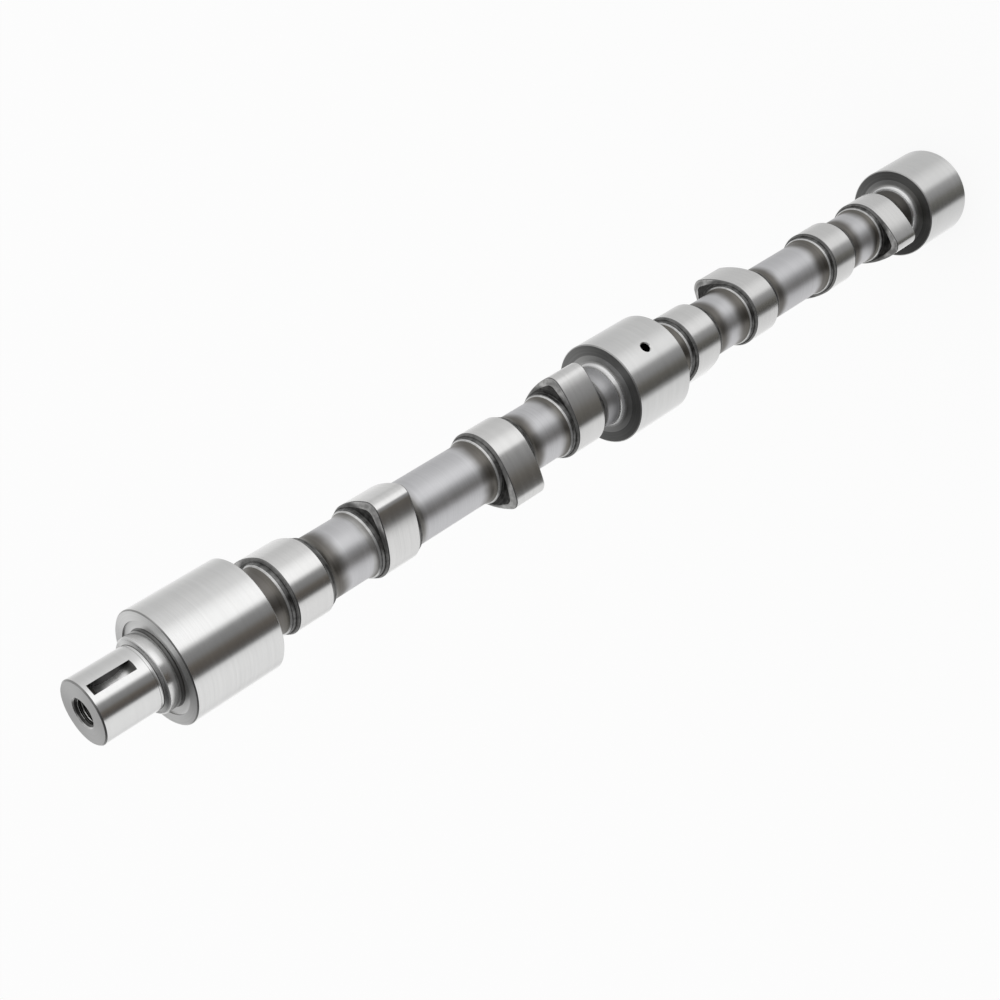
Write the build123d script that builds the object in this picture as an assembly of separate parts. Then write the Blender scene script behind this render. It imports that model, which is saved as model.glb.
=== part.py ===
from build123d import *
from math import acos, atan2, cos, radians, sin, sqrt, tan
import os

# Camshaft of a four-cylinder overhead-valve engine, made from one steel forging.
# Three bearing journals carry it, and four pairs of cams stand between them.
# The axis is Z, the rear end face lies on Z = 0, and the nose points up.
# The keyway is centred on +X. Lengths are in millimetres and angles in degrees.

# Journals
journal_diameter = 50.0
rear_journal_length = 36.5
centre_journal_length = 37.0
front_journal_length = 42.5
journal_chamfer = 0.5

# Spacing along the shaft: necks from journal face to cam face, and the rest from middle to middle
rear_neck_length = 14.8
centre_neck_length = 15.8
front_neck_length = 13.7
valve_spacing = 48.5
cylinder_spacing = 119.5

# Thrust face at the front of the front journal
thrust_relief_diameter = 40.6
thrust_relief_depth = 0.6

# Necks between journals and cams
neck_diameter = 29.0
journal_root_fillet = 3.1
shoulder_height = 1.5
shoulder_land = 1.5
shoulder_fillet = 5.0

# Cam profile: base circle, nose and flank arcs
base_circle_diameter = 34.6
cam_lift = 7.3
cam_nose_radius = 5.75
cam_flank_radius = 46.8

# Cam sides: ground land, sloping rim and flat face
cam_land_width = 17.8
rim_width = 1.05
rim_inset_base = 0.8
rim_inset_nose = 3.4
face_nose_radius = 3.5

# Timing, anticlockwise from the keyway as seen from the nose
first_inlet_angle = 110.0
lobe_separation = 111.0
firing_interval = 90.0

# Nose that carries the timing gear
collar_diameter = 33.0
collar_length = 6.6
collar_chamfer = 0.9
collar_undercut_width = 1.0
collar_undercut_depth = 0.4
nose_diameter = 28.0
nose_length = 26.5
nose_chamfer = 0.6
nose_undercut_width = 1.6
nose_undercut_depth = 0.3

# Segment keyway in the nose, its depth measured from the edges of the slot
keyway_width = 5.0
keyway_depth = 5.4
key_cutter_diameter = 22.0
keyway_from_end = 11.7

# Tapped hole in the nose, bored here to the outside of its thread
thread_diameter = 12.0
thread_depth = 24.0
tap_drill_diameter = 10.2
tap_drill_depth = 30.0
drill_point_angle = 118.0
thread_mouth_diameter = 13.2
thread_mouth_angle = 90.0

# Oil hole across the centre journal
oil_hole_diameter = 5.0
oil_hole_mouth_diameter = 6.0
oil_hole_mouth_angle = 90.0
oil_hole_angle = -6.5

# Lathe centre in the rear end face
centre_mouth_diameter = 8.5
centre_pilot_diameter = 4.0
centre_pilot_depth = 8.4
centre_angle = 60.0

# Sizes that follow from the ones above
journal_radius = journal_diameter / 2
neck_radius = neck_diameter / 2
base_radius = base_circle_diameter / 2
collar_radius = collar_diameter / 2
nose_radius = nose_diameter / 2
half_land = cam_land_width / 2
half_cam = half_land + rim_width

# Heights above the rear end face, stacked up from the rear to the nose
pair_reach = valve_spacing / 2 + half_cam
cylinder_4_height = rear_journal_length + rear_neck_length + pair_reach
cylinder_3_height = cylinder_4_height + cylinder_spacing
centre_journal_low = cylinder_3_height + pair_reach + centre_neck_length
centre_journal_height = centre_journal_low + centre_journal_length / 2
centre_journal_top = centre_journal_low + centre_journal_length
cylinder_2_height = centre_journal_top + centre_neck_length + pair_reach
cylinder_1_height = cylinder_2_height + cylinder_spacing
front_journal_low = cylinder_1_height + pair_reach + front_neck_length
front_journal_height = front_journal_low + front_journal_length / 2
front_face_height = front_journal_low + front_journal_length
collar_top = front_face_height + collar_length
shaft_length = collar_top + nose_length


def rod(radius, low, high):
    """Plain cylinder on the shaft axis between two heights."""
    return Pos(0, 0, low) * Cylinder(radius, high - low, align=(Align.CENTER, Align.CENTER, Align.MIN))


def ring(inner_radius, outer_radius, low, high):
    """Ring on the shaft axis, used as a turning tool's path."""
    return rod(outer_radius, low, high) - rod(inner_radius, low, high)


def cone_below(mouth_radius, small_radius, included_angle, top):
    """Cone on the axis that narrows downwards from its mouth at the given height."""
    depth = (mouth_radius - small_radius) / tan(radians(included_angle / 2))
    cone = Cone(small_radius, mouth_radius, depth, align=(Align.CENTER, Align.CENTER, Align.MAX))
    return Pos(0, 0, top) * cone


def journal(middle, length):
    """Ground bearing journal with both edges broken."""
    body = rod(journal_radius, middle - length / 2, middle + length / 2)
    return chamfer(body.edges().filter_by(GeomType.CIRCLE), journal_chamfer)


def blend(face, up, height, land, fillet):
    """Outline from a side face to the neck: a narrow land, then a hollow fillet.

    up is 1 when the neck lies above the face and -1 when it lies below it.
    """
    turn = acos(1 - height / fillet)
    outer = neck_radius + height
    start = face + up * land
    end = start + up * fillet * sin(turn)
    reach = fillet * 4 / 3 * tan(turn / 4)
    edges = [Line((0, 0, face), (outer, 0, face))]
    if land > 0:
        edges.append(Line((outer, 0, face), (outer, 0, start)))
    steep_handle = (outer - reach * sin(turn), 0, start + up * reach * cos(turn))
    neck_handle = (neck_radius, 0, end - up * reach)
    edges.append(Bezier((outer, 0, start), steep_handle, neck_handle, (neck_radius, 0, end)))
    return edges, end


def side_blend(station, up):
    """Blend at the upper or lower side of a journal or cam."""
    face = station["middle"] + up * station["half"]
    if station["kind"] == "journal":
        return blend(face, up, journal_root_fillet, 0, journal_root_fillet)
    return blend(face, up, shoulder_height, shoulder_land, shoulder_fillet)


def neck(below, above):
    """Neck turned between two neighbours on the shaft, blended into both."""
    low_edges, low_end = side_blend(below, 1)
    high_edges, high_end = side_blend(above, -1)
    low_face = below["middle"] + below["half"]
    high_face = above["middle"] - above["half"]
    straight = Line((neck_radius, 0, low_end), (neck_radius, 0, high_end))
    axis = Line((0, 0, low_face), (0, 0, high_face))
    return revolve(make_face(low_edges + [straight] + high_edges + [axis]), Axis.Z)


def cam_outline(base, tip, nose, flank, height):
    """Cam section of four tangent arcs with its nose on +X: nose, two flanks and base circle."""
    nose_centre = tip - nose
    flank_x = ((flank - base) ** 2 - (flank - nose) ** 2 + nose_centre**2) / (2 * nose_centre)
    flank_y = sqrt((flank - base) ** 2 - flank_x**2)
    nose_turn = atan2(flank_y, nose_centre - flank_x)
    base_turn = atan2(flank_y, -flank_x)
    flank_turn = (nose_turn + base_turn) / 2
    nose_end = Vector(nose_centre + nose * cos(nose_turn), nose * sin(nose_turn))
    flank_middle = Vector(flank_x + flank * cos(flank_turn), flank * sin(flank_turn) - flank_y)
    base_end = Vector(base * cos(base_turn), base * sin(base_turn))

    def below(point):
        return Vector(point.X, -point.Y)

    outline = [
        ThreePointArc(below(nose_end), (tip, 0), nose_end),
        ThreePointArc(nose_end, flank_middle, base_end),
        ThreePointArc(base_end, (-base, 0), below(base_end)),
        ThreePointArc(below(base_end), below(flank_middle), below(nose_end)),
    ]
    return Pos(0, 0, height) * make_face(outline)


def cam(middle, angle):
    """Cam with a ground land and rims that slope to flat side faces."""
    tip = base_radius + cam_lift
    face_base = base_radius - rim_inset_base
    face_tip = tip - rim_inset_nose
    sections = []
    for side in (-1, 1):
        face = cam_outline(face_base, face_tip, face_nose_radius, cam_flank_radius, side * half_cam)
        land = cam_outline(base_radius, tip, cam_nose_radius, cam_flank_radius, side * half_land)
        sections += [face, land] if side < 0 else [land, face]
    return Pos(0, 0, middle) * Rot(0, 0, angle) * loft(sections, ruled=True)


def keyway():
    """Disc-shaped cutter that leaves a keyway with a curved floor and square ends."""
    cutter_radius = key_cutter_diameter / 2
    mouth_x = sqrt(nose_radius**2 - (keyway_width / 2) ** 2)
    cutter_x = mouth_x + cutter_radius - keyway_depth
    height = shaft_length - keyway_from_end
    return Pos(cutter_x, 0, height) * Rot(90, 0, 0) * Cylinder(cutter_radius, keyway_width)


def tapped_hole():
    """Hole in the nose: countersunk mouth, thread length, tap drill and its point."""
    tap_radius = tap_drill_diameter / 2
    drill_bottom = shaft_length - tap_drill_depth
    hole = rod(thread_diameter / 2, shaft_length - thread_depth, shaft_length)
    hole += rod(tap_radius, drill_bottom, shaft_length)
    hole += cone_below(tap_radius, 0, drill_point_angle, drill_bottom)
    hole += cone_below(thread_mouth_diameter / 2, thread_diameter / 2, thread_mouth_angle, shaft_length)
    return hole


def rear_centre():
    """Lathe centre drilled up into the rear end face."""
    pilot_radius = centre_pilot_diameter / 2
    pilot = rod(pilot_radius, -centre_pilot_depth, 0)
    mouth = cone_below(centre_mouth_diameter / 2, pilot_radius, centre_angle, 0)
    return Rot(180, 0, 0) * (pilot + mouth)


def oil_hole():
    """Oil hole right across the centre journal, countersunk at both ends."""
    mouth = cone_below(oil_hole_mouth_diameter / 2, 0, oil_hole_mouth_angle, journal_radius)
    across = rod(oil_hole_diameter / 2, -journal_radius, journal_radius)
    across += mouth + Rot(180, 0, 0) * mouth
    return Pos(0, 0, centre_journal_height) * Rot(0, 0, oil_hole_angle) * Rot(0, 90, 0) * across


def nose():
    """Collar and nose with a broken edge on each."""
    collar = rod(collar_radius, front_face_height, collar_top)
    collar = chamfer(collar.edges().filter_by(GeomType.CIRCLE).sort_by(Axis.Z)[-1:], collar_chamfer)
    end = rod(nose_radius, collar_top, shaft_length)
    end = chamfer(end.edges().filter_by(GeomType.CIRCLE).sort_by(Axis.Z)[-1:], nose_chamfer)
    return collar + end


def turned_grooves():
    """Relief in the thrust face and the undercuts at the roots of collar and nose."""
    relief = ring(
        collar_radius, thrust_relief_diameter / 2,
        front_face_height - thrust_relief_depth, front_face_height,
    )
    collar_root = ring(
        collar_radius - collar_undercut_depth, collar_radius,
        front_face_height - thrust_relief_depth, front_face_height + collar_undercut_width,
    )
    nose_root = ring(
        nose_radius - nose_undercut_depth, nose_radius, collar_top, collar_top + nose_undercut_width
    )
    return relief, collar_root, nose_root


# Stations on the shaft, each with its middle height and half its width
stations = []
for middle, length in (
    (rear_journal_length / 2, rear_journal_length),
    (centre_journal_height, centre_journal_length),
    (front_journal_height, front_journal_length),
):
    stations.append({"kind": "journal", "middle": middle, "half": length / 2, "length": length})

# Cylinders 1 to 4: height, place in the firing order, and 1 where the inlet cam is the upper one
cylinders = (
    (cylinder_1_height, 0, 1),
    (cylinder_2_height, 3, -1),
    (cylinder_3_height, 1, 1),
    (cylinder_4_height, 2, -1),
)
for height, firing_place, inlet_side in cylinders:
    inlet_angle = first_inlet_angle + firing_place * firing_interval
    exhaust_angle = inlet_angle - lobe_separation
    for side, angle in ((inlet_side, inlet_angle), (-inlet_side, exhaust_angle)):
        middle = height + side * valve_spacing / 2
        stations.append({"kind": "cam", "middle": middle, "half": half_cam, "angle": angle})
stations.sort(key=lambda station: station["middle"])

# Journals, cams and the necks between them, grown from the rear to the nose
pieces = []
for station in stations:
    if station["kind"] == "journal":
        pieces.append(journal(station["middle"], station["length"]))
    else:
        pieces.append(cam(station["middle"], station["angle"]))
pieces += [neck(below, above) for below, above in zip(stations, stations[1:])]
camshaft = nose() + pieces

# Holes, keyway and grooves
for cut in (keyway(), tapped_hole(), rear_centre(), oil_hole(), *turned_grooves()):
    camshaft -= cut

os.makedirs("parts", exist_ok=True)
export_step(camshaft, "parts/camshaft.step")
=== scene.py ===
from math import acos, asin, atan2, ceil, cos, degrees, pi, radians, sin, sqrt, tan

import bmesh
import bpy
import numpy as np
from mathutils import Matrix, Vector

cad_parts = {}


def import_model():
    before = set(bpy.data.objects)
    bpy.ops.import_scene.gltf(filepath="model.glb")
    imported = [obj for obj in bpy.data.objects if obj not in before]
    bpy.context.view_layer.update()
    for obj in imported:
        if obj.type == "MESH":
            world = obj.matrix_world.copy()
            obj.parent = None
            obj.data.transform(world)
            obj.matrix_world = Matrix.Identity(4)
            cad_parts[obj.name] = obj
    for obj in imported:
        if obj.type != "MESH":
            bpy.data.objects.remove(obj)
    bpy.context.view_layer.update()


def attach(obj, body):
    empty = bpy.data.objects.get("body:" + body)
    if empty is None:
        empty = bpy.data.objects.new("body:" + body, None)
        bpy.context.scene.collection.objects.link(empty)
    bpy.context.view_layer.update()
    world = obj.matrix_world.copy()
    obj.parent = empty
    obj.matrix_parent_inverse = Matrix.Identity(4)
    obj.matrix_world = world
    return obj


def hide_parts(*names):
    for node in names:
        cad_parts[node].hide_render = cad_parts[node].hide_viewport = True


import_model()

# Scene for a four-cylinder camshaft that stands on its rear end face, nose up.
# The sizes are in millimetres, and mesh points are scaled to metres as they are made.
MM = 0.001
COLUMNS = 210

# Camera fitted to the photograph: its place and axes, before a turn in degrees about the shaft
CAMERA_TURN = -24.0
CAMERA_LENS, CAMERA_SENSOR = 58.67, 36.0
CAMERA_PLACE = (580.7, 0.0, 797.9)
CAMERA_RIGHT = (0.51148, -0.52530, -0.68003)
CAMERA_DOWN = (-0.29395, -0.85060, 0.43597)
CAMERA_FORWARD = (-0.80745, -0.02309, -0.58948)

# Shaft heights, from the rear end face up
REAR_JOURNAL = (0.0, 36.5)
CENTRE_JOURNAL = (255.0, 292.0)
FRONT_JOURNAL = (509.4, 551.9)
COLLAR_TOP = 558.5
SHAFT_TOP = 585.0

# Journals, necks and the shoulders beside the cams
JOURNAL_R = 25.0
JOURNAL_CHAMFER = 0.5
NECK_R = 14.5
ROOT_FILLET = 3.1
INNER_RING = 2.0
SHOULDER_R = 16.0
SHOULDER_LAND = 1.5
SHOULDER_FILLET = 5.0
SHOULDER_CORNER = 0.45
CORNER_TURNS = (0, 30, 60, 90)
SHOULDER_INSET = 0.3

# Rounded edge of a shoulder: how far each ring lies in from its radius and past its edge
SHOULDER_ROUND = ((0.0, -SHOULDER_INSET), (0.08, 0.0), (0.28, 0.25))

# Fillets: fewest rings, most degrees between rings, and the slopes past which a cam's blend is painted
# lighter as a painted highlight and a journal's root blend darker as painted shade
FILLET_RINGS = 5
FILLET_RING_ANGLE = 9.0
PAINTED_GLINT_FROM = 30.0
ROOT_SHADE_FROM = 54.0

# Front end: relief in the thrust face, collar, nose and the grooves at their roots
RELIEF_R = 20.3
RELIEF_DEPTH = 0.6
RELIEF_LEAN = 0.15
RELIEF_CORNER_IN = 0.4
RELIEF_CORNER_UP = 0.1
COLLAR_R = 16.5
COLLAR_CHAMFER = 0.9
SOFT_EDGE = 0.15
COLLAR_GROOVE_LENGTH = 1.0
COLLAR_GROOVE_DEPTH = 0.4
COLLAR_GROOVE_RIM = 0.5
COLLAR_GROOVE_CORNER = 0.3
NOSE_R = 14.0
NOSE_CHAMFER = 0.6
NOSE_GROOVE_LENGTH = 1.6
NOSE_GROOVE_DEPTH = 0.3
NOSE_GROOVE_CORNER = 0.25
GROOVE_SLOPE = 0.3

# Rings that divide plain walls: radii on the end faces and the journal sides, and a height on the nose
REAR_FACE_RING = 14.0
FRONT_FACE_RING = 22.4
NOSE_FACE_RING = 10.0
SIDE_RING = 22.0
NOSE_RING_HEIGHT = 561.6

# Shares of the way at which a span or a window gets its rings
THIRDS = (0.33, 0.67, 1.0)

# Cams: middle height, angle of the nose from the keyway, and how far the neck is darkened below and above,
# part heat tint and part painted shade between the parts
CAMS = (
    (61.25, 290.0, 17.0, 10.0),
    (109.75, 179.0, 13.0, 13.5),
    (180.75, 89.0, 12.5, 12.5),
    (229.25, 200.0, 12.2, 20.0),
    (317.75, 20.0, 4.5, 9.5),
    (366.25, -91.0, 11.2, 12.5),
    (437.25, -1.0, 8.0, 7.5),
    (485.75, 110.0, 12.5, 20.0),
)
# Fade and unevenness of the neck darkening beside the cams, then its colour: part heat tint, part painted
# shade between the parts
NECK_DARKENING_FADE = 6.5
NECK_DARKENING_UNEVEN = 6.0
TINT_AND_SHADE_COLOUR = (0.29, 0.275, 0.25)

# Radii of a cam's base circle, tip, nose and flanks on its ground land, then on its flat side faces
CAM_BASE, CAM_TIP, CAM_NOSE, CAM_FLANK = 17.3, 24.6, 5.75, 46.8
FACE_BASE, FACE_TIP, FACE_NOSE = 16.5, 21.2, 3.5
HALF_LAND = 8.9
HALF_CAM = 9.95
EDGE_BREAK = 0.30
EDGE_DROP = EDGE_BREAK * 0.9
EDGE_REACH = EDGE_BREAK * 0.4

# Keyway, with the centre of the disc cutter at its distance from the axis
KEY_HALF_WIDTH = 2.5
KEY_MIDDLE = 573.3
KEY_CUTTER_R = 11.0
KEY_CUTTER_X = 19.375
KEY_ROWS = 24

# Tapped hole, made on every third column with ten rings to a turn of the thread
THREAD_R = 6.0
THREAD_CREST_R = 5.1
THREAD_PITCH = 1.75
THREAD_BOTTOM = 561.0
THREAD_RUN_OUT = 0.1
THREAD_COLUMN_STEP = 3
THREAD_RINGS = 10
THREAD_FIRST_DEPTH = 1.6
CREST_BAND = 0.1
MOUTH_R = 6.6
MOUTH_RING_STEP = 0.12
MOUTH_RINGS_END = 1.5
DRILL_BOTTOM = 555.0
DRILL_TIP_R = 1.0
DRILL_POINT_SLOPE = 31.0

# Oil hole, each mouth in a window of the journal's columns and rows
OIL_R = 2.5
OIL_MOUTH_R = 2.95
OIL_SINK = 0.55
OIL_ANGLE = -6.5
OIL_MIDDLE = 273.5
OIL_WINDOW = 3.6
OIL_HALF_COLUMNS = 5
OIL_ROWS = 6

# Lathe centre in the rear end face
CENTRE_MOUTH_R = 4.25
CENTRE_PILOT_R = 2.0
CENTRE_DEPTH = 8.4
CENTRE_HALF_ANGLE = 30.0

# Material slots of the one mesh, in order
REGIONS = (
    "ground", "cam_land", "neck", "fillet", "bright_fillet", "shoulder", "root",
    "journal_side", "inner_ring", "cam_side", "rim", "cam_edge", "edge", "soft_edge", "chamfer",
    "front_face", "nose_face", "groove", "bore", "slot", "slot_wall",
)
REGION = {name: i for i, name in enumerate(REGIONS)}


def camera():
    """Camera of the photograph, rolled so that the shaft lies across the frame."""
    data = bpy.data.cameras.new("photo_camera")
    data.lens = CAMERA_LENS
    data.sensor_width = CAMERA_SENSOR
    data.clip_start = 0.01
    data.clip_end = 20.0
    obj = bpy.data.objects.new("photo_camera", data)
    turn = Matrix.Rotation(radians(CAMERA_TURN), 3, "Z")
    right = turn @ Vector(CAMERA_RIGHT)
    down = turn @ Vector(CAMERA_DOWN)
    forward = turn @ Vector(CAMERA_FORWARD)
    place = turn @ Vector(CAMERA_PLACE) * MM
    basis = Matrix((right.normalized(), (-down).normalized(), (-forward).normalized())).transposed()
    obj.matrix_world = Matrix.Translation(place) @ basis.to_4x4()
    bpy.context.scene.collection.objects.link(obj)
    bpy.context.scene.camera = obj


def wrap(angle):
    """The same angle between -pi and pi."""
    return (angle + pi) % (2 * pi) - pi


def column_angles():
    """Angles of the mesh columns, with two of them moved onto the sides of the keyway."""
    angles = [2 * pi * i / COLUMNS for i in range(COLUMNS)]
    side = asin(KEY_HALF_WIDTH / NOSE_R)
    for sign in (1, -1):
        nearest = min(range(COLUMNS), key=lambda i: abs(wrap(angles[i] - sign * side)))
        angles[nearest] = sign * side % (2 * pi)
    return angles


def cam_radius(turn, base, tip, nose, flank):
    """Distance from the axis to the outline of a cam at an angle from its nose."""
    nose_centre = tip - nose
    flank_x = ((flank - base) ** 2 - (flank - nose) ** 2 + nose_centre**2) / (2 * nose_centre)
    flank_y = sqrt((flank - base) ** 2 - flank_x**2)
    nose_turn = atan2(flank_y, nose_centre - flank_x)
    base_turn = atan2(flank_y, -flank_x)
    nose_polar = atan2(nose * sin(nose_turn), nose_centre + nose * cos(nose_turn))
    t = abs(wrap(turn))
    if t <= nose_polar:
        side = nose_centre * sin(t)
        return nose_centre * cos(t) + sqrt(nose**2 - side**2)
    if t >= base_turn:
        return base
    along = flank_x * cos(t) - flank_y * sin(t)
    return along + sqrt(along**2 - flank_x**2 - flank_y**2 + flank**2)


class Shaft:
    """One mesh of rings from the rear end to the nose, with a band of faces between neighbours."""

    def __init__(self):
        self.columns = column_angles()
        self.points = []
        self.faces = []
        self.regions = []
        self.sharp = set()
        self.ring = None

    def point(self, x, y, z):
        self.points.append((x, y, z))
        return len(self.points) - 1

    def face(self, corners, region):
        self.faces.append(tuple(corners))
        self.regions.append(REGION[region])

    def crease(self, ids):
        """Marks the edges along a closed row of points as sharp."""
        self.sharp.update(tuple(sorted(pair)) for pair in zip(ids, ids[1:] + ids[:1]))

    def step(self, radius, height, region=None, sharp=False, gap=()):
        """Next ring, joined to the last one except in the columns of gap.

        radius and height are one number each, or one for each column.
        """
        n = COLUMNS
        radii = np.broadcast_to(np.asarray(radius, float), (n,))
        heights = np.broadcast_to(np.asarray(height, float), (n,))
        ids = [self.point(r * cos(a), r * sin(a), z) for a, r, z in zip(self.columns, radii, heights)]
        if sharp:
            self.crease(ids)
        if region:
            for i in range(n):
                if i not in gap:
                    j = (i + 1) % n
                    self.face((self.ring[i], self.ring[j], ids[j], ids[i]), region)
        self.ring = ids
        return ids


# Rear end, necks and their blends

def rear_end(s):
    """Lathe centre from its bottom out, then the rear end face."""
    cone_depth = (CENTRE_MOUTH_R - CENTRE_PILOT_R) / tan(radians(CENTRE_HALF_ANGLE))
    bottom = s.step(CENTRE_PILOT_R, CENTRE_DEPTH, sharp=True)
    s.face(reversed(bottom), "bore")
    s.step(CENTRE_PILOT_R, cone_depth, "bore", True)
    s.step(CENTRE_MOUTH_R, 0.0, "bore", True)
    s.step(REAR_FACE_RING, 0.0, "front_face")
    s.step(JOURNAL_R - JOURNAL_CHAMFER, 0.0, "front_face", True)


def blend_length(outer, fillet):
    """Length along the axis of a hollow fillet that starts at radius outer."""
    return fillet * sin(acos(1 - (outer - NECK_R) / fillet))


def hollow(s, outer, start, direction, fillet, region, steep=None, steep_from=90.0):
    """Hollow fillet between the neck and radius outer, at start.

    It goes down to the neck where direction is 1. steep is the region of the part whose slope is over
    steep_from degrees.
    """
    turn = acos(1 - (outer - NECK_R) / fillet)
    count = max(FILLET_RINGS, ceil(turn / radians(FILLET_RING_ANGLE)))
    end = start + direction * fillet * sin(turn)
    steps = range(count - 1, -1, -1) if direction > 0 else range(1, count + 1)
    for i in steps:
        a = turn * i / count
        slope = degrees(turn * (i + direction / 2) / count)
        band = steep if slope > steep_from else region
        s.step(NECK_R + fillet * (1 - cos(a)), end - direction * fillet * sin(a), band)
    return end


def corner(s, face, direction):
    """Small hollow corner where a shoulder meets the side of a cam, leaving the side where direction is 1."""
    c = SHOULDER_CORNER
    for t in CORNER_TURNS[::direction]:
        radius = SHOULDER_R + c - c * sin(radians(t))
        s.step(radius, face + direction * c * (1 - cos(radians(t))), "cam_side")


def leave(s, kind, face):
    """Blend from the side of a journal or cam down to the neck. Gives the height where it ends."""
    if kind == "cam":
        corner(s, face, 1)
        edge = face + SHOULDER_LAND
        for inwards, past in SHOULDER_ROUND:
            s.step(SHOULDER_R - inwards, edge + past, "shoulder")
        # Past the glint slope the cam's blend takes a lighter finish without the neck darkening: a painted
        # highlight for the glint there.
        return hollow(s, SHOULDER_R, edge, 1, SHOULDER_FILLET, "fillet", "bright_fillet", PAINTED_GLINT_FROM)
    root_r = NECK_R + ROOT_FILLET
    s.step(SIDE_RING, face, "journal_side")
    s.step(root_r + INNER_RING, face, "journal_side", True)
    s.step(root_r, face, "inner_ring")
    # Past that slope the journal's root blend takes the darker inner-ring finish: painted shade in the
    # corner.
    return hollow(s, root_r, face, 1, ROOT_FILLET, "root", "inner_ring", ROOT_SHADE_FROM)


def meet(s, kind, face):
    """Blend from the neck out to the side of a journal or cam."""
    if kind == "cam":
        edge = face - SHOULDER_LAND
        hollow(s, SHOULDER_R, edge, -1, SHOULDER_FILLET, "fillet")
        s.step(SHOULDER_R, edge + SHOULDER_INSET, "shoulder")
        corner(s, face, -1)
        return
    hollow(s, NECK_R + ROOT_FILLET, face, -1, ROOT_FILLET, "root")
    s.step(SIDE_RING, face, "journal_side")
    s.step(JOURNAL_R - JOURNAL_CHAMFER, face, "journal_side", True)


def neck(s, low_kind, low, high_kind, high):
    """Neck with its blends between two sides."""
    start = leave(s, low_kind, low)
    if high_kind == "cam":
        end = high - SHOULDER_LAND - blend_length(SHOULDER_R, SHOULDER_FILLET)
    else:
        end = high - ROOT_FILLET
    for share in THIRDS:
        s.step(NECK_R, start + (end - start) * share, "neck")
    meet(s, high_kind, high)


# Cams and journals

def cam(s, middle, angle):
    """Side, sloping rim, broken edge and land of a cam, then the same back down."""
    turns = [wrap(a - radians(angle)) for a in s.columns]
    land = np.array([cam_radius(t, CAM_BASE, CAM_TIP, CAM_NOSE, CAM_FLANK) for t in turns])
    face = np.array([cam_radius(t, FACE_BASE, FACE_TIP, FACE_NOSE, CAM_FLANK) for t in turns])
    half_way = (land + face) / 2
    rim_middle = (HALF_LAND + HALF_CAM) / 2
    edge = land - EDGE_DROP
    s.step(face, middle - HALF_CAM, "cam_side", True)
    s.step(half_way, middle - rim_middle, "rim")
    s.step(edge, middle - HALF_LAND - EDGE_REACH, "rim", True)
    s.step(land, middle - HALF_LAND + EDGE_BREAK, "cam_edge", True)
    s.step(land, middle, "cam_land")
    s.step(land, middle + HALF_LAND - EDGE_BREAK, "cam_land", True)
    s.step(edge, middle + HALF_LAND + EDGE_REACH, "cam_edge", True)
    s.step(half_way, middle + rim_middle, "rim")
    s.step(face, middle + HALF_CAM, "rim", True)


def journal(s, low, high):
    """Chamfers and ground wall of a journal, from its lower side to its upper one."""
    s.step(JOURNAL_R, low + JOURNAL_CHAMFER, "chamfer", True)
    if (low, high) == CENTRE_JOURNAL:
        oil_hole(s)
    s.step(JOURNAL_R, (s.points[s.ring[0]][2] + high - JOURNAL_CHAMFER) / 2, "ground")
    s.step(JOURNAL_R, high - JOURNAL_CHAMFER, "ground", True)
    s.step(JOURNAL_R - JOURNAL_CHAMFER, high, "chamfer", True)


def oil_hole(s):
    """Rows of the centre journal past its oil hole, with a window at each mouth, and the bore between."""
    middles = []
    for side in (0, 1):
        centre = radians(OIL_ANGLE) + pi * side
        middles.append(min(range(COLUMNS), key=lambda i: abs(wrap(s.columns[i] - centre))))
    gap = [(c + i) % COLUMNS for c in middles for i in range(-OIL_HALF_COLUMNS, OIL_HALF_COLUMNS)]
    rows = [s.step(JOURNAL_R, OIL_MIDDLE - OIL_WINDOW, "ground")]
    for k in range(1, OIL_ROWS + 1):
        height = OIL_MIDDLE - OIL_WINDOW + 2 * OIL_WINDOW * k / OIL_ROWS
        rows.append(s.step(JOURNAL_R, height, "ground", False, gap))
    bores = []
    for side, c in enumerate(middles):
        cols = [(c + i) % COLUMNS for i in range(-OIL_HALF_COLUMNS, OIL_HALF_COLUMNS + 1)]
        loop = [rows[0][i] for i in cols]
        loop += [row[cols[-1]] for row in rows[1:]]
        loop += [rows[-1][i] for i in reversed(cols[:-1])]
        loop += [row[cols[0]] for row in reversed(rows[1:-1])]
        bores.append(oil_mouth(s, loop, side))
    join_bore(s, *bores)


def oil_mouth(s, loop, side):
    """Fills a window with rings that turn from its square edge into the round mouth, then the countersink."""
    turn = radians(OIL_ANGLE) + pi * side
    across = Vector((-sin(turn), cos(turn), 0))
    out = Vector((cos(turn), sin(turn), 0))
    flat = [(Vector(s.points[i]).dot(across), s.points[i][2] - OIL_MIDDLE) for i in loop]
    around = [atan2(v, u) for u, v in flat]
    rings = [loop]

    def ring(radii, depth=None):
        """Ring on the journal's wall, or at a flat depth where one is given."""
        ids = []
        for a, r in zip(around, radii):
            u, v = r * cos(a), r * sin(a)
            p = out * (sqrt(JOURNAL_R**2 - u * u) if depth is None else depth) + across * u
            ids.append(s.point(p.x, p.y, OIL_MIDDLE + v))
        rings.append(ids)
        return ids

    for share in THIRDS:
        mouth = ring([sqrt(u * u + v * v) * (1 - share) + OIL_MOUTH_R * share for u, v in flat])
    s.crease(mouth)
    s.crease(ring([OIL_R] * len(loop), JOURNAL_R - OIL_SINK))
    for region, outer, inner in zip(("ground", "ground", "ground", "edge"), rings, rings[1:]):
        for i in range(len(loop)):
            j = (i + 1) % len(loop)
            s.face((outer[j], outer[i], inner[i], inner[j]), region)
    return rings[-1]


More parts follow.
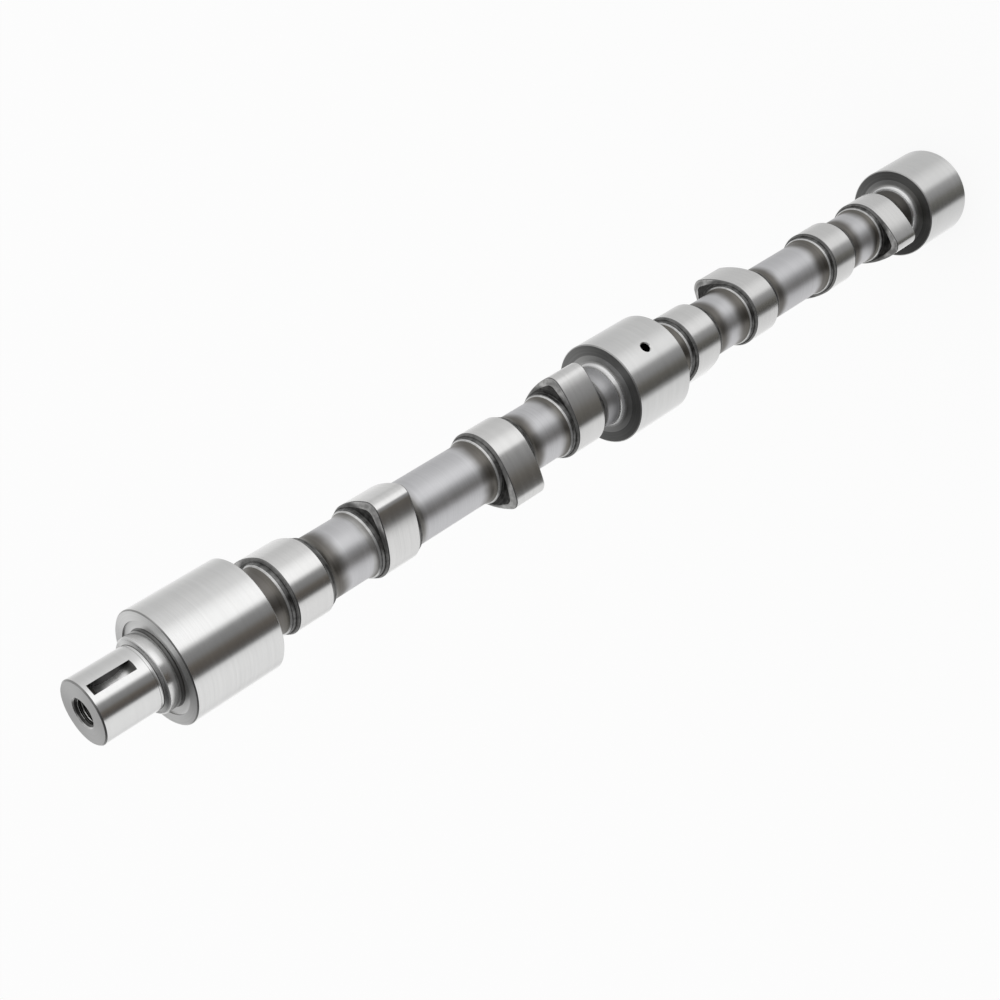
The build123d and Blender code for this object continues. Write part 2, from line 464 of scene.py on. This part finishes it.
def join_bore(s, a, b):
    """Wall of the oil hole, from its mouth a to its mouth b."""
    out = Vector((cos(radians(OIL_ANGLE)), sin(radians(OIL_ANGLE)), 0))

    def flat(i):
        p = Vector(s.points[i])
        return p - out * p.dot(out)

    def distance(i, j):
        return (flat(i) - flat(j)).length

    m = len(a)
    first = min(range(m), key=lambda j: distance(b[j], a[0]))
    sense = min((1, -1), key=lambda d: distance(b[(first + d) % m], a[1]))
    facing = [b[(first + sense * i) % m] for i in range(m)]
    for i in range(m):
        j = (i + 1) % m
        s.face((a[i], a[j], facing[j], facing[i]), "bore")


# Front end

def front_end(s):
    """Thrust face, relief, collar and nose with its keyway and tapped hole."""
    top = FRONT_JOURNAL[1]
    relief = top - RELIEF_DEPTH
    groove_r = COLLAR_R - COLLAR_GROOVE_DEPTH
    groove_end = top + COLLAR_GROOVE_LENGTH
    s.step(FRONT_FACE_RING, top, "front_face")
    s.step(RELIEF_R, top, "front_face", True)
    s.step(RELIEF_R - RELIEF_LEAN, relief + RELIEF_CORNER_UP, "inner_ring", True)
    s.step(RELIEF_R - RELIEF_CORNER_IN, relief, "front_face")
    s.step(COLLAR_R + COLLAR_GROOVE_RIM, relief, "front_face", True)
    s.step(groove_r + COLLAR_GROOVE_CORNER, relief, "groove")
    s.step(groove_r, relief + COLLAR_GROOVE_CORNER, "groove")
    s.step(groove_r, groove_end - GROOVE_SLOPE, "groove", True)
    s.step(COLLAR_R, groove_end, "edge", True)
    s.step(COLLAR_R, COLLAR_TOP - COLLAR_CHAMFER - SOFT_EDGE, "ground")
    s.step(COLLAR_R, COLLAR_TOP - COLLAR_CHAMFER, "ground")
    s.step(COLLAR_R - COLLAR_CHAMFER, COLLAR_TOP, "soft_edge")
    groove_r = NOSE_R - NOSE_GROOVE_DEPTH
    groove_end = COLLAR_TOP + NOSE_GROOVE_LENGTH
    s.step(groove_r + NOSE_GROOVE_CORNER, COLLAR_TOP, "front_face")
    s.step(groove_r, COLLAR_TOP + NOSE_GROOVE_CORNER, "groove")
    s.step(groove_r, groove_end - GROOVE_SLOPE, "ground", True)
    s.step(NOSE_R, groove_end, "chamfer", True)
    keyway(s)
    s.step(NOSE_R, SHAFT_TOP - NOSE_CHAMFER, "ground", True)
    s.step(NOSE_R - NOSE_CHAMFER, SHAFT_TOP, "chamfer", True)
    s.step(NOSE_FACE_RING, SHAFT_TOP, "nose_face")
    mouth = s.step(MOUTH_R, SHAFT_TOP, "nose_face", True)
    tapped_hole(s, mouth)


def keyway(s):
    """Rows of the nose past the keyway, its curved floor as the disc cutter leaves it, and its two sides."""
    side = asin(KEY_HALF_WIDTH / NOSE_R)
    inside = [i for i in range(COLUMNS) if abs(wrap(s.columns[i])) <= side + 1e-6]
    inside.sort(key=lambda i: wrap(s.columns[i]))
    gap = inside[:-1]

    def half_length(angle):
        """Half the keyway's length at an angle on the nose's surface."""
        return sqrt(KEY_CUTTER_R**2 - (KEY_CUTTER_X - NOSE_R * cos(angle)) ** 2)

    def end_row(sign):
        """Heights of the row that follows the keyway's lower or upper end."""
        heights = np.full(COLUMNS, KEY_MIDDLE + sign * half_length(side))
        for i in inside:
            heights[i] = KEY_MIDDLE + sign * half_length(wrap(s.columns[i]))
        return heights

    s.step(NOSE_R, NOSE_RING_HEIGHT, "ground")
    rows = [s.step(NOSE_R, end_row(-1), "ground")]
    for k in range(1, KEY_ROWS):
        height = KEY_MIDDLE - half_length(side) * (1 - 2 * k / KEY_ROWS)
        rows.append(s.step(NOSE_R, height, "ground", False, gap))
    rows.append(s.step(NOSE_R, end_row(1), "ground", False, gap))

    floors = [[rows[0][i] for i in inside]]
    for row in rows[1:-1]:
        ids = []
        for i in inside:
            y, z = s.points[row[i]][1:]
            ids.append(s.point(KEY_CUTTER_X - sqrt(KEY_CUTTER_R**2 - (z - KEY_MIDDLE) ** 2), y, z))
        floors.append(ids)
    floors.append([rows[-1][i] for i in inside])
    for end in (floors[0], floors[-1]):
        s.sharp.update(tuple(sorted(pair)) for pair in zip(end, end[1:]))
    for k in range(KEY_ROWS):
        a, b = floors[k], floors[k + 1]
        for i in range(len(inside) - 1):
            s.face((a[i], a[i + 1], b[i + 1], b[i]), "slot")
        for end in (0, -1):
            wall = [rows[k][inside[end]], a[end], b[end], rows[k + 1][inside[end]]]
            wall = list(dict.fromkeys(wall))
            s.face(wall, "slot_wall")
            s.sharp.update(tuple(sorted(pair)) for pair in ((wall[0], wall[-1]), (a[end], b[end])))


def thread_radius(angle, z):
    """Radius of the tapped hole's wall at an angle and a height.

    Crest and root are each flat over an eighth of the pitch, and the flanks between are straight. The groove
    fades out at the bottom of the thread, and the countersink takes over at the mouth.
    """
    s = ((z - THREAD_BOTTOM) / THREAD_PITCH - angle / (2 * pi)) % 1.0
    groove = min(1.0, max(0.0, abs(2 * s - 1) * 4 / 3 - 1 / 6))
    groove *= min(1.0, max(0.0, (z - THREAD_BOTTOM) / THREAD_PITCH))
    return max(THREAD_CREST_R + (THREAD_R - THREAD_CREST_R) * groove, MOUTH_R - (SHAFT_TOP - z))


def tapped_hole(s, mouth):
    """Countersink, thread and tap drill inside the nose, from the mouth down."""
    columns = range(0, COLUMNS, THREAD_COLUMN_STEP)
    m = len(columns)
    rows = [mouth]

    def row(radii, z):
        """Next ring down. The first one joins every column of the mouth."""
        ids = [s.point(r * cos(s.columns[c]), r * sin(s.columns[c]), z) for c, r in zip(columns, radii)]
        for i, c in enumerate(columns):
            j = (i + 1) % m
            if len(rows) == 1:
                outer = [mouth[(c + k) % COLUMNS] for k in range(THREAD_COLUMN_STEP + 1)]
            else:
                outer = [rows[-1][i], rows[-1][j]]
            # Crests and countersink keep the light edge finish and the rest of the hole the dark bore finish:
            # painted shade in the hole, so the crests read as painted glints.
            countersink = SHAFT_TOP - z < MOUTH_R - THREAD_R
            crest = z > THREAD_BOTTOM and radii[i] < THREAD_CREST_R + CREST_BAND
            s.face((*outer, ids[j], ids[i]), "edge" if countersink or crest else "bore")
        rows.append(ids)
        return ids

    depths = [
        *np.arange(MOUTH_RING_STEP, MOUTH_RINGS_END, MOUTH_RING_STEP),
        *np.arange(THREAD_FIRST_DEPTH, SHAFT_TOP - THREAD_BOTTOM, THREAD_PITCH / THREAD_RINGS),
    ]
    for depth in depths:
        row([thread_radius(s.columns[c], SHAFT_TOP - depth) for c in columns], SHAFT_TOP - depth)
    row([THREAD_CREST_R] * m, THREAD_BOTTOM - THREAD_RUN_OUT)
    s.crease(row([THREAD_CREST_R] * m, DRILL_BOTTOM))
    point_slope = tan(radians(DRILL_POINT_SLOPE))
    last = row([DRILL_TIP_R] * m, DRILL_BOTTOM - (THREAD_CREST_R - DRILL_TIP_R) * point_slope)
    tip = s.point(0.0, 0.0, DRILL_BOTTOM - THREAD_CREST_R * point_slope)
    for i in range(m):
        s.face((last[i], last[(i + 1) % m], tip), "bore")


def build_shaft():
    """One closed mesh of the whole shaft."""
    s = Shaft()
    stations = [("cam", middle - HALF_CAM, middle + HALF_CAM, angle) for middle, angle, *_ in CAMS]
    stations += [("journal", *ends, None) for ends in (REAR_JOURNAL, CENTRE_JOURNAL, FRONT_JOURNAL)]
    stations.sort(key=lambda station: station[1])
    rear_end(s)
    for i, (kind, low, high, angle) in enumerate(stations):
        if i:
            neck(s, *stations[i - 1][:3:2], kind, low)
        if kind == "journal":
            journal(s, low, high)
        else:
            cam(s, (low + high) / 2, angle)
    front_end(s)
    return s


def make_object(shaft, name):
    """Turns the collected points into one closed smooth mesh with its sharp edges marked."""
    data = bpy.data.meshes.new(name)
    data.from_pydata([tuple(c * MM for c in p) for p in shaft.points], [], shaft.faces)
    data.polygons.foreach_set("material_index", shaft.regions)
    data.polygons.foreach_set("use_smooth", [True] * len(data.polygons))
    data.edges.foreach_set("use_edge_sharp", [tuple(sorted(e.vertices)) in shaft.sharp for e in data.edges])
    grid = bmesh.new()
    grid.from_mesh(data)
    bmesh.ops.recalc_face_normals(grid, faces=grid.faces)
    bmesh.ops.delete(grid, geom=[v for v in grid.verts if not v.link_faces], context="VERTS")
    grid.to_mesh(data)
    grid.free()
    data.update()
    obj = bpy.data.objects.new(name, data)
    bpy.context.scene.collection.objects.link(obj)
    return obj


# Materials

class Nodes:
    """Short way to add nodes and links to a material or world."""

    def __init__(self, tree):
        self.tree = tree
        tree.nodes.clear()

    def add(self, kind, **values):
        node = self.tree.nodes.new(kind)
        for key, value in values.items():
            setattr(node, key, value)
        return node

    def put(self, value, socket):
        """Sets a socket to a number or a colour, or links it."""
        if isinstance(value, (int, float)):
            socket.default_value = value if socket.type == "VALUE" else colour4(value)
        elif isinstance(value, tuple):
            socket.default_value = colour4(value)
        else:
            self.tree.links.new(value, socket)

    def link(self, a, b):
        self.tree.links.new(a, b)

    def math(self, operation, a, b=0.0, clamp=False):
        node = self.add("ShaderNodeMath", operation=operation, use_clamp=clamp)
        self.put(a, node.inputs[0])
        self.put(b, node.inputs[1])
        return node.outputs[0]

    def map(self, source, low, high):
        """0 at low and 1 at high, held at both ends."""
        node = self.add("ShaderNodeMapRange", interpolation_type="SMOOTHSTEP")
        self.link(source, node.inputs["Value"])
        node.inputs["From Min"].default_value = low
        node.inputs["From Max"].default_value = high
        return node.outputs["Result"]

    def mix(self, factor, a, b, blend="MIX"):
        """Colour a where factor is 0 and colour b, or a blended with b, where it is 1."""
        node = self.add("ShaderNodeMix", data_type="RGBA", blend_type=blend)
        self.put(factor, node.inputs[0])
        self.put(a, node.inputs[6])
        self.put(b, node.inputs[7])
        return node.outputs[2]

    def ramp(self, source, stops):
        node = self.add("ShaderNodeValToRGB")
        elements = node.color_ramp.elements
        elements.remove(elements[-1])
        elements[0].position = stops[0][0]
        elements[0].color = colour4(stops[0][1])
        for position, colour in stops[1:]:
            elements.new(position).color = colour4(colour)
        self.link(source, node.inputs["Fac"])
        return node.outputs["Color"]

    def noise(self, vector, scale, detail):
        node = self.add("ShaderNodeTexNoise")
        node.inputs["Scale"].default_value = scale
        node.inputs["Detail"].default_value = detail
        self.link(vector, node.inputs["Vector"])
        return node.outputs["Fac"]


def colour4(value):
    """A grey level or colour with its alpha."""
    return (value, value, value, 1.0) if isinstance(value, (int, float)) else (*value, 1.0)


# Scales of the noises, per metre: lines round the axis, clouds, patches and specks
FINE_LINES_ROUND = 18.0
WIDE_LINES_ROUND = 40.0
CLOUD_SCALE = 55.0
PATCH_SCALE = 340.0
SPECK_SCALE = 1400.0

# How much wider the wide lines are, how much deeper, and the shares of lines and clouds in the wear
WIDE_LINES = 4
WIDE_DEPTH = 1.5
FINE_WEAR, WIDE_WEAR, CLOUD_WEAR = 0.50, 0.25, 0.25
WEAR_RANGE = (0.36, 0.64)
GRAIN_DEPTH = 4


def metal(name, colour, wander, roughness, spread, lines, depth, grain=0.0, anisotropic=0.0, radial=False,
          lean=0.0, tint_and_shade=False, outer=None, outer_from=None, metallic=1.0, patchy=0.0):
    """Steel with turning or grinding lines that run round the axis.

    wander is how far the colour varies and spread how far the roughness does. lines is their number per
    metre, along the axis or, for a radial finish, outwards from it, and depth is how deep they are cut.
    grain is a fine mottle. lean tilts the lines' flanks outwards by degrees, as a facing tool leaves them.
    The neck darkening beside the cams is partly a heat tint and partly painted shade between the parts. outer
    is the colour that it changes to further from the axis, between the two radii of outer_from. patchy is how
    far small patches of a forged or hand-dressed surface vary the colour.
    """
    material = bpy.data.materials.new(name)
    material.use_nodes = True
    n = Nodes(material.node_tree)
    out = n.add("ShaderNodeOutputMaterial")
    shader = n.add("ShaderNodeBsdfPrincipled")
    n.link(shader.outputs[0], out.inputs["Surface"])
    shader.inputs["Metallic"].default_value = metallic
    place = n.add("ShaderNodeTexCoord").outputs["Object"]
    split = n.add("ShaderNodeSeparateXYZ")
    n.link(place, split.inputs[0])
    x, y, z = split.outputs
    outwards = n.math("SQRT", n.math("ADD", n.math("MULTIPLY", x, x), n.math("MULTIPLY", y, y)))
    along = outwards if radial else z

    def streaks(per_metre, round_scale):
        """Noise that changes fast along the axis or radius and slowly round it."""
        vector = n.add("ShaderNodeCombineXYZ")
        n.link(n.math("MULTIPLY", x, round_scale), vector.inputs[0])
        n.link(n.math("MULTIPLY", y, round_scale), vector.inputs[1])
        n.link(n.math("MULTIPLY", along, per_metre), vector.inputs[2])
        return n.noise(vector.outputs[0], 1.0, 3.0)

    fine_lines = streaks(lines, FINE_LINES_ROUND)
    wide_lines = streaks(lines / WIDE_LINES, WIDE_LINES_ROUND)
    cloud = n.noise(place, CLOUD_SCALE, 3.0)
    worn = n.math("ADD", n.math("MULTIPLY", fine_lines, FINE_WEAR), n.math("MULTIPLY", wide_lines, WIDE_WEAR))
    worn = n.math("ADD", worn, n.math("MULTIPLY", cloud, CLOUD_WEAR))
    if patchy:
        patches = n.math("SUBTRACT", n.noise(place, PATCH_SCALE, 2.0), 0.5)
        worn = n.math("ADD", worn, n.math("MULTIPLY", patches, patchy))

    def wandering(middle):
        """Colour that varies about the middle one with the wear."""
        low = tuple(c * (1 - wander) for c in middle)
        high = tuple(min(c * (1 + wander), 1.0) for c in middle)
        return n.ramp(worn, tuple(zip(WEAR_RANGE, (low, high))))

    base = wandering(colour)
    if outer:
        base = n.mix(n.map(outwards, outer_from[0] * MM, outer_from[1] * MM), base, wandering(outer))
    # Darker neck beside each cam: part heat tint, part painted shade between the parts.
    if tint_and_shade:
        base = n.mix(tint_and_shade_near_cams(n, z, cloud), base, TINT_AND_SHADE_COLOUR, "MULTIPLY")
    n.link(base, shader.inputs["Base Color"])
    rough = n.math("ADD", n.math("MULTIPLY", worn, spread * 2), roughness - spread)
    height = n.math("ADD", fine_lines, n.math("MULTIPLY", wide_lines, WIDE_DEPTH))
    if grain:
        mottle = n.math("SUBTRACT", n.noise(place, SPECK_SCALE, 2.0), 0.5)
        rough = n.math("ADD", rough, n.math("MULTIPLY", mottle, grain))
        height = n.math("ADD", height, n.math("MULTIPLY", mottle, grain * GRAIN_DEPTH))
    if lean:
        height = n.math("SUBTRACT", height, n.math("MULTIPLY", outwards, tan(radians(lean)) / depth))
    n.link(rough, shader.inputs["Roughness"])
    if anisotropic:
        shader.inputs["Anisotropic"].default_value = anisotropic
        shader.inputs["Anisotropic Rotation"].default_value = 0.25
        tangent = n.add("ShaderNodeTangent", direction_type="RADIAL", axis="Z")
        n.link(tangent.outputs[0], shader.inputs["Tangent"])
    bump = n.add("ShaderNodeBump")
    bump.inputs["Strength"].default_value = 1.0
    bump.inputs["Distance"].default_value = depth
    n.link(height, bump.inputs["Height"])
    n.link(bump.outputs[0], shader.inputs["Normal"])
    return material


def tint_and_shade_near_cams(n, z, cloud):
    """1 beside a cam and 0 on the open neck, with an uneven border between, where a heat tint and painted
    shade between the parts darken the neck.
    """
    nearest = None
    for middle, _, below, above in CAMS:
        centre = middle + (above - below) / 2
        reach = HALF_CAM + (above + below) / 2
        past = n.math("SUBTRACT", n.math("ABSOLUTE", n.math("SUBTRACT", z, centre * MM)), reach * MM)
        nearest = past if nearest is None else n.math("MINIMUM", nearest, past)
    uneven = n.math("MULTIPLY", n.math("SUBTRACT", cloud, 0.5), NECK_DARKENING_UNEVEN * MM)
    return n.map(n.math("ADD", nearest, uneven), 0.0, -NECK_DARKENING_FADE * MM)


def materials():
    """One finish for each region of the shaft."""
    return {
        "ground": metal(
            "ground_steel", (0.80, 0.80, 0.795), 0.04, 0.20, 0.05, 2600, 1e-6, anisotropic=0.35),
        "cam_land": metal(
            "ground_cam_steel", (0.80, 0.797, 0.79), 0.05, 0.22, 0.06, 2300, 1.2e-6, anisotropic=0.35),
        "neck": metal(
            "turned_neck_steel", (0.68, 0.68, 0.695), 0.06, 0.42, 0.08, 1500, 2e-6,
            grain=0.05, anisotropic=0.2, tint_and_shade=True),
        "fillet": metal(
            "fillet_steel", (0.60, 0.60, 0.60), 0.08, 0.38, 0.08, 1800, 3e-6,
            grain=0.05, anisotropic=0.2, tint_and_shade=True),
        # Steep band of a cam's blend: a painted highlight, lighter and without the neck darkening, with
        # patches that break the glint up.
        "bright_fillet": metal(
            "fillet_steel_painted_glint", (0.62, 0.62, 0.615), 0.28, 0.25, 0.06, 1800, 2e-6, grain=0.03, patchy=0.4),
        # Machined shoulder ring painted near black: painted shade beside the cam's side, mottled by patches.
        "shoulder": metal(
            "shoulder_steel_painted_shade", (0.145, 0.145, 0.143), 0.46, 0.32, 0.08, 2200, 2e-6, grain=0.05, patchy=0.8),
        "root": metal(
            "root_fillet_steel", (0.80, 0.80, 0.80), 0.05, 0.27, 0.05, 1800, 1e-6),
        # Turned journal sides painted dark grey: painted shade, a darker copy of the faced steel on the
        # thrust face and rear end.
        "journal_side": metal(
            "turned_side_steel_painted_shade", (0.25, 0.25, 0.247), 0.16, 0.35, 0.10, 2600, 6e-6,
            grain=0.04, anisotropic=0.6, radial=True, lean=8),
        "inner_ring": metal(
            "inner_ring_steel", (0.46, 0.46, 0.455), 0.08, 0.34, 0.06, 2200, 3e-6,
            grain=0.03, anisotropic=0.6, radial=True, lean=8),
        "cam_side": metal(
            "dark_side_steel", (0.12, 0.119, 0.116), 0.50, 0.48, 0.10, 1800, 4e-6,
            grain=0.08, radial=True, patchy=0.8),
        "rim": metal(
            "forged_rim_steel", (0.13, 0.129, 0.126), 0.38, 0.40, 0.10, 1500, 4e-6,
            grain=0.10, outer=(0.46, 0.457, 0.45), outer_from=(17.8, 20.0), metallic=0.5, patchy=0.65),
        # Broken edge of the ground land painted dark: a painted shade line between the rim and the land.
        "cam_edge": metal(
            "cam_edge_steel_painted_shade", (0.18, 0.18, 0.178), 0.25, 0.30, 0.08, 1500, 1e-6, grain=0.03),
        "edge": metal(
            "broken_edge_steel", (0.80, 0.80, 0.79), 0.06, 0.25, 0.05, 1500, 1e-6),
        "soft_edge": metal(
            "blended_edge_steel", (0.74, 0.74, 0.735), 0.06, 0.28, 0.06, 1500, 1e-6, grain=0.03),
        "chamfer": metal(
            "chamfer_steel", (0.42, 0.42, 0.415), 0.10, 0.30, 0.08, 1500, 1e-6),
        "front_face": metal(
            "faced_steel", (0.76, 0.76, 0.755), 0.07, 0.34, 0.08, 2200, 3e-6,
            grain=0.04, anisotropic=0.7, radial=True, lean=8),
        "nose_face": metal(
            "nose_face_steel", (0.72, 0.72, 0.715), 0.06, 0.42, 0.08, 2200, 3e-6,
            grain=0.05, anisotropic=0.3, radial=True),
        # Grooves at the roots of the collar and nose painted dark: painted shadow in the grooves.
        "groove": metal(
            "groove_steel_painted_shadow", (0.20, 0.199, 0.195), 0.10, 0.36, 0.08, 1800, 2e-6, grain=0.04),
        # Bores of the tapped hole, the oil hole and the lathe centre painted near black: painted shade inside
        # the holes.
        "bore": metal(
            "bored_steel_painted_shade", (0.13, 0.129, 0.126), 0.12, 0.25, 0.08, 900, 2e-6, grain=0.04),
        # Keyway floor: a painted highlight, whiter than the ground steel, in its middle, fading to painted
        # shade towards its shallow ends.
        "slot": metal(
            "slot_floor_painted_patch_and_shade", (0.96, 0.96, 0.95), 0.04, 0.30, 0.06, 1600, 1e-6,
            outer=(0.32, 0.319, 0.31), outer_from=(10.0, 11.6)),
        # Keyway sides painted near black: painted shade in the slot.
        "slot_wall": metal(
            "slot_wall_steel_painted_shade", (0.05, 0.05, 0.049), 0.10, 0.40, 0.08, 1600, 1e-6),
    }


# Floor and studio

FLOOR_HALF = 6.0
FLOOR_GREY = 0.86
FLOOR_GLOW = 0.86


def floor():
    """Pale floor that the camera sees as near white, with the shaft's soft shadow kept on it."""
    mesh = bpy.data.meshes.new("floor")
    half = FLOOR_HALF
    corners = [(-half, -half, 0), (half, -half, 0), (half, half, 0), (-half, half, 0)]
    mesh.from_pydata(corners, [], [(0, 1, 2, 3)])
    obj = bpy.data.objects.new("floor", mesh)
    bpy.context.scene.collection.objects.link(obj)
    material = bpy.data.materials.new("pale_floor")
    material.use_nodes = True
    n = Nodes(material.node_tree)
    out = n.add("ShaderNodeOutputMaterial")
    diffuse = n.add("ShaderNodeBsdfDiffuse")
    diffuse.inputs["Color"].default_value = colour4(FLOOR_GREY)
    glow = n.add("ShaderNodeEmission")
    glow.inputs["Color"].default_value = colour4(1.0)
    glow.inputs["Strength"].default_value = 1.0
    path = n.add("ShaderNodeLightPath")
    mix = n.add("ShaderNodeMixShader")
    n.link(n.math("MULTIPLY", path.outputs["Is Camera Ray"], FLOOR_GLOW), mix.inputs[0])
    n.link(diffuse.outputs[0], mix.inputs[1])
    n.link(glow.outputs[0], mix.inputs[2])
    n.link(mix.outputs[0], out.inputs["Surface"])
    mesh.materials.append(material)
    obj.visible_glossy = False


def compass(levels):
    """Stops of a ramp from levels at compass angles in degrees, closed round the back."""
    stops = sorted(((angle % 360) / 360, level) for angle, level in levels)
    (first, first_level), (last, last_level) = stops[0], stops[-1]
    if first == 0:
        return (*stops, (1.0, first_level))
    share = (1 - last) / (1 - last + first)
    seam = tuple(a + (b - a) * share for a, b in zip(colour4(last_level)[:3], colour4(first_level)[:3]))
    return ((0.0, seam), *stops, (1.0, seam))


# Levels of the studio below the horizon, by compass angle from the photograph's side: shallow and steep
SHALLOW_WALLS = compass([
    (-174, 1.00), (-156, 0.88), (-140, 0.74), (-118, 0.62), (-96, 0.64), (-74, 0.74), (-58, 0.80),
    (-44, 1.04), (-30, 1.18), (-7, 1.20), (4, 0.26), (20, 0.215), (30, (0.125, 0.110, 0.094)),
    (44, (0.082, 0.074, 0.068)), (52, 0.10), (57, 0.86), (80, 0.88), (122, 0.85), (140, 0.76),
    (152, 0.84), (166, 1.10),
])
STEEP_WALLS = compass([
    (-174, 0.90), (-156, 0.78), (-140, 0.68), (-118, 0.60), (-96, 0.60), (-74, 0.60), (-60, 0.60),
    (-44, 0.72), (-30, 0.80), (-10, 0.78), (2, 0.36), (18, 0.26), (34, (0.130, 0.127, 0.115)),
    (52, (0.078, 0.077, 0.070)), (61, 0.09), (67, 0.66), (100, 0.74), (124, 0.80), (140, 0.84),
    (152, 0.96), (166, 1.10),
])
PALE_FLOOR = 0.62

# Levels above the horizon by the sine of the elevation: the far side's left and right, and the near side
FAR_LEFT = (
    (0.0, 0.85), (0.40, 0.98), (0.50, 0.92), (0.65, 0.68), (0.79, 0.20), (0.88, 0.05), (0.94, 0.40),
)
FAR_RIGHT = (
    (0.0, 0.50), (0.30, 0.44), (0.45, 0.26), (0.60, 0.10), (0.75, 0.05), (0.88, 0.04), (0.94, 0.40),
)
NEAR_ABOVE = (
    (0.0, 0.55), (0.25, 0.88), (0.50, 1.0), (0.74, 1.0), (0.84, 0.20), (0.88, 0.10), (0.94, 0.40),
)

# Shares of the near side and of the far side's left, and how far the right is dimmed, by compass angle
NEAR_SHARE = compass([
    (-145, 0.0), (-130, 0.10), (-105, 0.3), (-80, 1.0), (-22, 1.0), (0, 0.45), (20, 0.30), (60, 0.20),
    (100, 0.30), (125, 0.0),
])
LEFT_SHARE = compass([
    (-165, 1.0), (-150, 0.50), (-125, 0.30), (-100, 0.45), (0, 0.45), (90, 0.0), (165, 0.0),
])
RIGHT_DIM = compass([(-150, 1.0), (-10, 1.0), (15, 0.55), (35, 0.38), (110, 0.38), (140, 1.0)])

# Sines of the elevations between which one part fades into the next
STEEP_FADE = (-0.44, -0.80)
FLOOR_FADE = (-0.86, -0.93)
HORIZON_FADE = (-0.02, 0.07)


def world():
    """Studio surroundings for the metal: pale walls with one dark flag low down and a dark belt high up.

    They change with the compass angle, measured from the photograph's side. The camera sees plain white, and
    diffuse surfaces are lit at a plain level of 1.
    """
    world = bpy.data.worlds.new("studio")
    bpy.context.scene.world = world
    world.use_nodes = True
    n = Nodes(world.node_tree)
    out = n.add("ShaderNodeOutputWorld")
    split = n.add("ShaderNodeSeparateXYZ")
    n.link(n.add("ShaderNodeTexCoord").outputs["Generated"], split.inputs[0])
    x, y, z = split.outputs
    turn = n.math("DIVIDE", n.math("SUBTRACT", radians(CAMERA_TURN + 360.0), n.math("ARCTAN2", y, x)), 2 * pi)
    share = n.math("FRACT", turn)
    # below the horizon: shallow directions and steep ones, then the pale floor straight down
    walls = n.mix(n.map(z, *STEEP_FADE), n.ramp(share, SHALLOW_WALLS), n.ramp(share, STEEP_WALLS))
    walls = n.mix(n.map(z, *FLOOR_FADE), walls, PALE_FLOOR)
    # above it: the far side of the room, lighter on its left, and the near side
    far = n.mix(n.ramp(share, LEFT_SHARE), n.ramp(z, FAR_RIGHT), n.ramp(z, FAR_LEFT))
    above = n.mix(n.ramp(share, NEAR_SHARE), far, n.ramp(z, NEAR_ABOVE))
    above = n.mix(1.0, above, n.ramp(share, RIGHT_DIM), "MULTIPLY")
    studio = n.add("ShaderNodeBackground")
    n.link(n.mix(n.map(z, *HORIZON_FADE), walls, above), studio.inputs["Color"])
    studio.inputs["Strength"].default_value = 1.0
    white = n.add("ShaderNodeBackground")
    white.inputs["Color"].default_value = colour4(1.0)
    path = n.add("ShaderNodeLightPath")
    plain = n.math("ADD", path.outputs["Is Camera Ray"], path.outputs["Is Diffuse Ray"], clamp=True)
    mix = n.add("ShaderNodeMixShader")
    n.link(plain, mix.inputs[0])
    n.link(studio.outputs[0], mix.inputs[1])
    n.link(white.outputs[0], mix.inputs[2])
    n.link(mix.outputs[0], out.inputs["Surface"])


scene = bpy.context.scene
scene.view_settings.view_transform = "Standard"
camera()
body = make_object(build_shaft(), "camshaft_body")
finishes = materials()
for region in REGIONS:
    body.data.materials.append(finishes[region])
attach(body, "root")
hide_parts("camshaft")
floor()
world()
